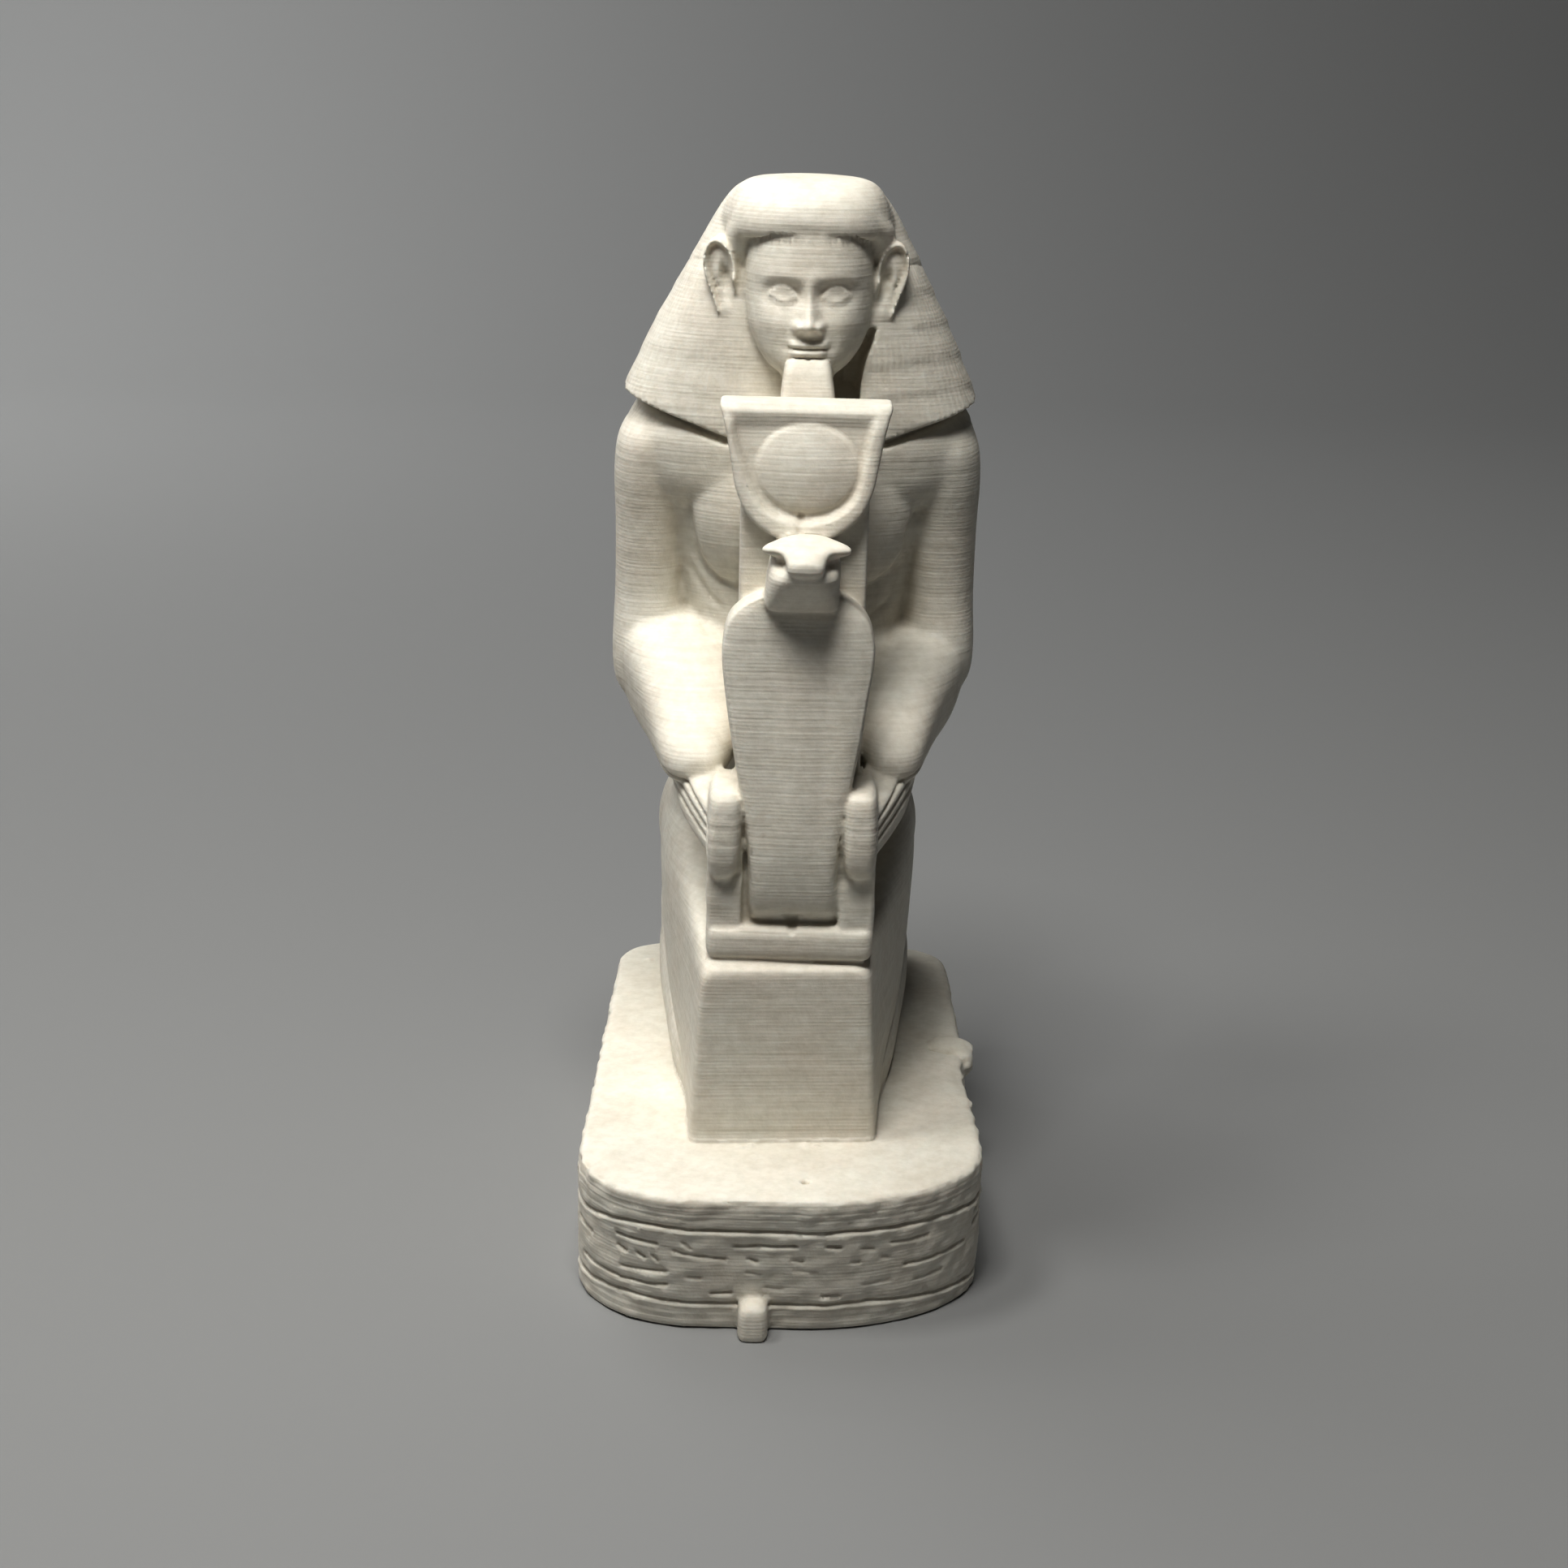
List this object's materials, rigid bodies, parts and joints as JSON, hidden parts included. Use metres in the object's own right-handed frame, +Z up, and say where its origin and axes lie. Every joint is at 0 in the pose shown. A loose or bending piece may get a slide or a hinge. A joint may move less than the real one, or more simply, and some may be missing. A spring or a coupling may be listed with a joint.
{
  "type": "kneeling figure statuette",
  "caption": "One-piece resin statuette of a kneeling ancient Egyptian figure in a striated wig, holding a rearing cobra with a horned disc, on a rounded block base.",
  "frame": {"origin": "under the middle of the base block, on the plane it stands on", "axes": "+Z up, the figure faces -Y, +X to the right as the viewer in front of it sees it"},
  "size_m": [0.0461, 0.077, 0.12],
  "materials": {
    "ivory_resin": "matte ivory resin with fine level print lines and a faint mottle"
  },
  "bodies": {
    "root": {"kneeling_figure": "ivory_resin"}
  },
  "joints": []
}
